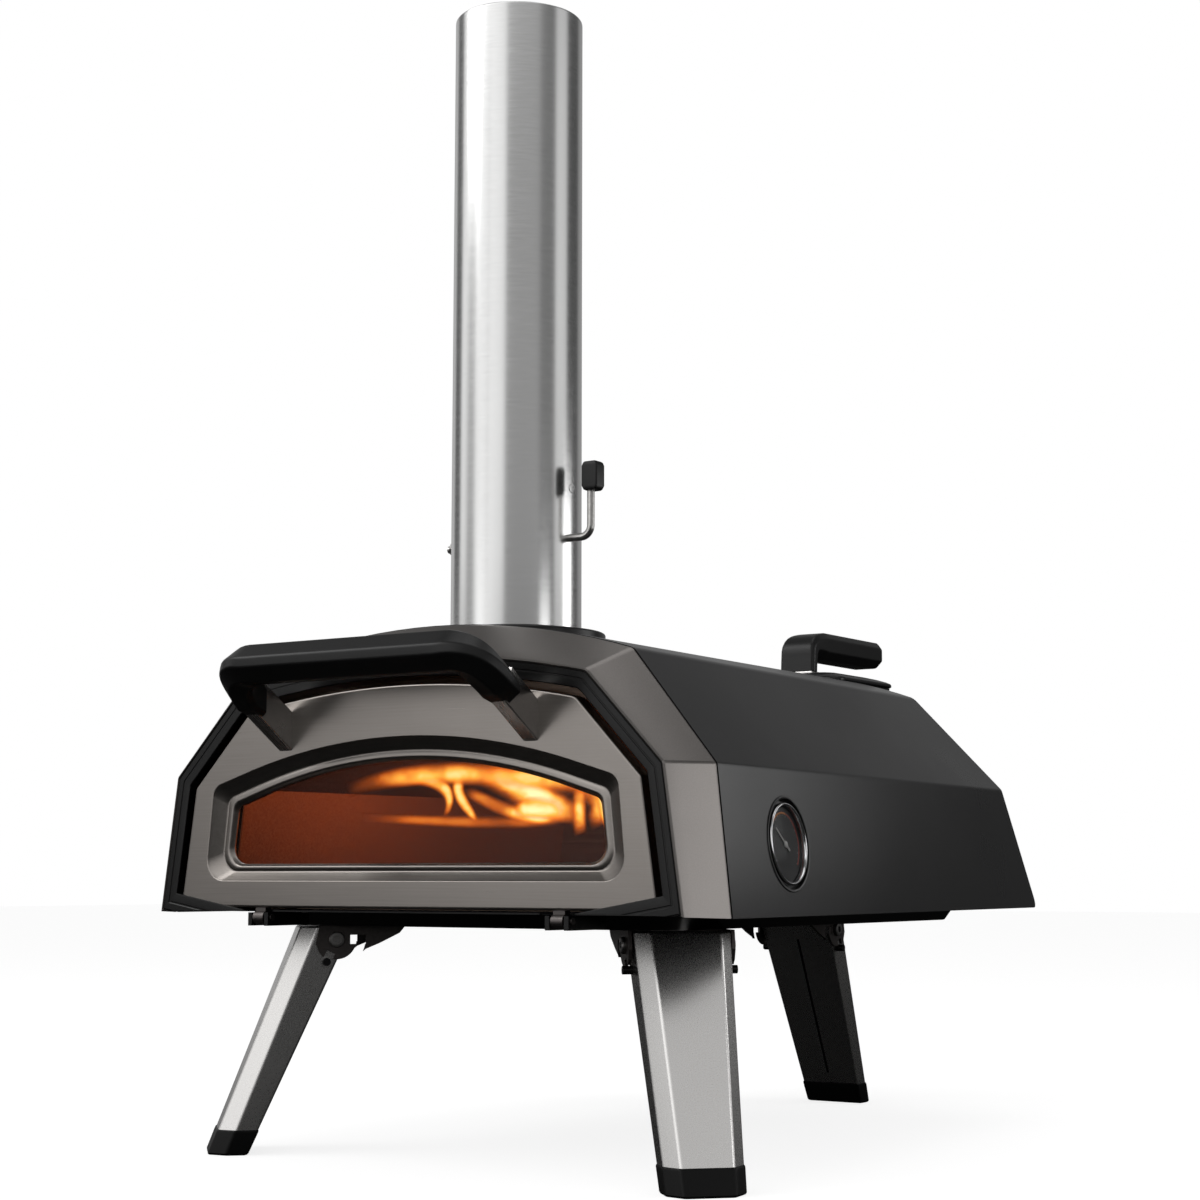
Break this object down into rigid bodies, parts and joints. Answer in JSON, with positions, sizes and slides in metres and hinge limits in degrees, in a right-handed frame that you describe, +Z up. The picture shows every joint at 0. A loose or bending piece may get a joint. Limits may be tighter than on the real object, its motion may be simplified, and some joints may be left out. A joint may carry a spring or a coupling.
{
  "type": "wood fired pizza oven",
  "caption": "Portable pizza oven: insulated steel body on folding legs, glazed drop-down door, flue with damper, wall thermometer, rear fuel hatch and sliding fuel tray.",
  "frame": {"origin": "centre of the bounding box's base, on the ground", "axes": "+Z up; +Y from the door towards the fuel box at the rear; +X towards the side with the thermometer"},
  "size_m": [0.415, 0.67, 0.73],
  "materials": {
    "shell_black": "satin black powder coat",
    "bezel_metal": "satin warm grey brushed steel",
    "frame_black": "satin black",
    "stainless": "brushed stainless steel",
    "bracket_steel": "dull steel",
    "fasteners": "zinc-plated steel",
    "baking_stone": "matt cordierite",
    "fibre_blanket": "ceramic fibre",
    "gasket": "woven heat-proof fibre",
    "grip_plastic": "matt black",
    "foot_rubber": "matt black rubber",
    "door_glass": "tinted heat-proof glass",
    "lens": "clear glass",
    "chrome": "polished",
    "needle_white": "painted"
  },
  "bodies": {
    "body": {"outer_shell": "shell_black", "front_bezel": "bezel_metal", "front_frame": "frame_black", "front_wall": "stainless", "base_plate": "shell_black", "base_pan": "shell_black", "rear_panel": "shell_black", "inner_liner": "stainless", "insulation_blanket": "fibre_blanket", "pizza_stone": "baking_stone", "stone_rails": "stainless", "flame_guard": "stainless", "door_hinge_brackets": "bracket_steel", "door_hinge_pins": "fasteners", "door_hinge_screws": "fasteners", "flue_collar": "shell_black", "thermometer_case": "frame_black", "thermometer_ring": "chrome", "thermometer_dial": "frame_black", "thermometer_lens": "lens", "fuel_box": "shell_black", "hatch_frame": "shell_black", "leg_bracket_front_left": "bracket_steel", "leg_bracket_front_right": "bracket_steel", "leg_bracket_rear": "bracket_steel", "leg_pivot_bolts": "fasteners"},
    "door": {"door_panel": "bezel_metal", "door_glass": "door_glass", "door_gasket": "gasket", "door_back_frame": "frame_black", "door_frame_screws": "fasteners", "door_handle_bracket_left": "stainless", "door_handle_bracket_right": "stainless", "door_handle_grip": "grip_plastic", "door_handle_screws": "fasteners"},
    "flue_seal": {"flue_seal_ring": "shell_black"},
    "flue": {"flue_tube": "stainless"},
    "damper": {"damper_plate": "stainless", "damper_rod": "fasteners", "damper_knob": "grip_plastic", "damper_nut": "fasteners"},
    "hatch": {"hatch_lid": "shell_black", "hatch_handle_grip": "grip_plastic", "hatch_handle_foot": "stainless"},
    "tray": {"fuel_tray": "stainless", "tray_face_plate": "shell_black", "fuel_grate": "stainless", "tray_handle": "grip_plastic", "tray_handle_screws": "fasteners"},
    "leg_front_left_body": {"leg_front_left": "stainless", "foot_front_left": "foot_rubber"},
    "leg_front_right_body": {"leg_front_right": "stainless", "foot_front_right": "foot_rubber"},
    "leg_rear_body": {"leg_rear": "stainless", "foot_rear": "foot_rubber"},
    "lock_front_left": {"leg_lock_pin_front_left": "fasteners"},
    "lock_front_right": {"leg_lock_pin_front_right": "fasteners"},
    "lock_rear": {"leg_lock_pin_rear": "fasteners"},
    "needle": {"thermometer_needle": "needle_white"}
  },
  "joints": [
    {"name": "door_hinge", "type": "hinge", "parent": "body", "child": "door", "pos_m": [0, -0.2675, 0.149], "axis": [1, 0, 0], "range_deg": [0, 90]},
    {"name": "flue_lift", "type": "slide", "parent": "body", "child": "flue_seal", "axis": [0, 0, 1], "range_m": [0, 0.05]},
    {"name": "flue_twist", "type": "hinge", "parent": "flue_seal", "child": "flue", "pos_m": [0, -0.1575, 0.33], "axis": [0, 0, 1], "range_deg": [0, 30]},
    {"name": "damper_turn", "type": "hinge", "parent": "flue", "child": "damper", "pos_m": [0, -0.1575, 0.385], "axis": [1, 0, 0], "range_deg": [0, 90]},
    {"name": "hatch_lift", "type": "slide", "parent": "body", "child": "hatch", "axis": [0, 0, 1], "range_m": [0, 0.04]},
    {"name": "tray_slide", "type": "slide", "parent": "body", "child": "tray", "axis": [0, 1, 0], "range_m": [0, 0.09]},
    {"name": "leg_fold_front_left", "type": "hinge", "parent": "body", "child": "leg_front_left_body", "pos_m": [-0.1316, -0.1766, 0.134], "axis": [-0.7071, 0.7071, 0], "range_deg": [-114.2, 0]},
    {"name": "leg_lock_front_left", "type": "slide", "parent": "leg_front_left_body", "child": "lock_front_left", "axis": [0.2899, 0.2899, 0.9121], "range_m": [0, 0.004]},
    {"name": "leg_fold_front_right", "type": "hinge", "parent": "body", "child": "leg_front_right_body", "pos_m": [0.1316, -0.1766, 0.134], "axis": [-0.7071, -0.7071, 0], "range_deg": [-114.2, 0]},
    {"name": "leg_lock_front_right", "type": "slide", "parent": "leg_front_right_body", "child": "lock_front_right", "axis": [-0.2899, 0.2899, 0.9121], "range_m": [0, 0.004]},
    {"name": "leg_fold_rear", "type": "hinge", "parent": "body", "child": "leg_rear_body", "pos_m": [0, 0.214, 0.134], "axis": [1, 0, 0], "range_deg": [-114.2, 0]},
    {"name": "leg_lock_rear", "type": "slide", "parent": "leg_rear_body", "child": "lock_rear", "axis": [0, -0.4099, 0.9121], "range_m": [0, 0.004]},
    {"name": "thermometer_needle_turn", "type": "hinge", "parent": "body", "child": "needle", "pos_m": [0.1978, -0.161, 0.1925], "axis": [0.9922, 0.0636, 0.1076], "range_deg": [-185, 85]}
  ]
}
